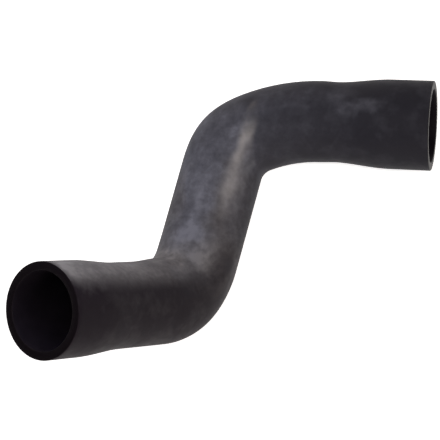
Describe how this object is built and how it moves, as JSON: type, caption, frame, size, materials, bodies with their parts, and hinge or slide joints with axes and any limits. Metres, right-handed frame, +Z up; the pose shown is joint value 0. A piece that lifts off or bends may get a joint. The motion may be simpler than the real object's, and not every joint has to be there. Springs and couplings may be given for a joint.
{
  "type": "moulded coolant hose",
  "caption": "Moulded black rubber coolant hose with two tight bends in different planes and a wider cuff at each end, to push over a spigot and clamp.",
  "frame": {"origin": "bottom centre of the hose's box, on the surface that it lies on", "axes": "+Z up; +X along the outlet leg in plan, from the bends to the outlet mouth; the middle leg runs towards +Y"},
  "size_m": [0.2224, 0.2032, 0.1507],
  "materials": {
    "hose_rubber": "satin black EPDM rubber with a grey bloom and faint cloth-wrap marks"
  },
  "bodies": {
    "root": {"coolant_hose": "hose_rubber"}
  },
  "joints": []
}
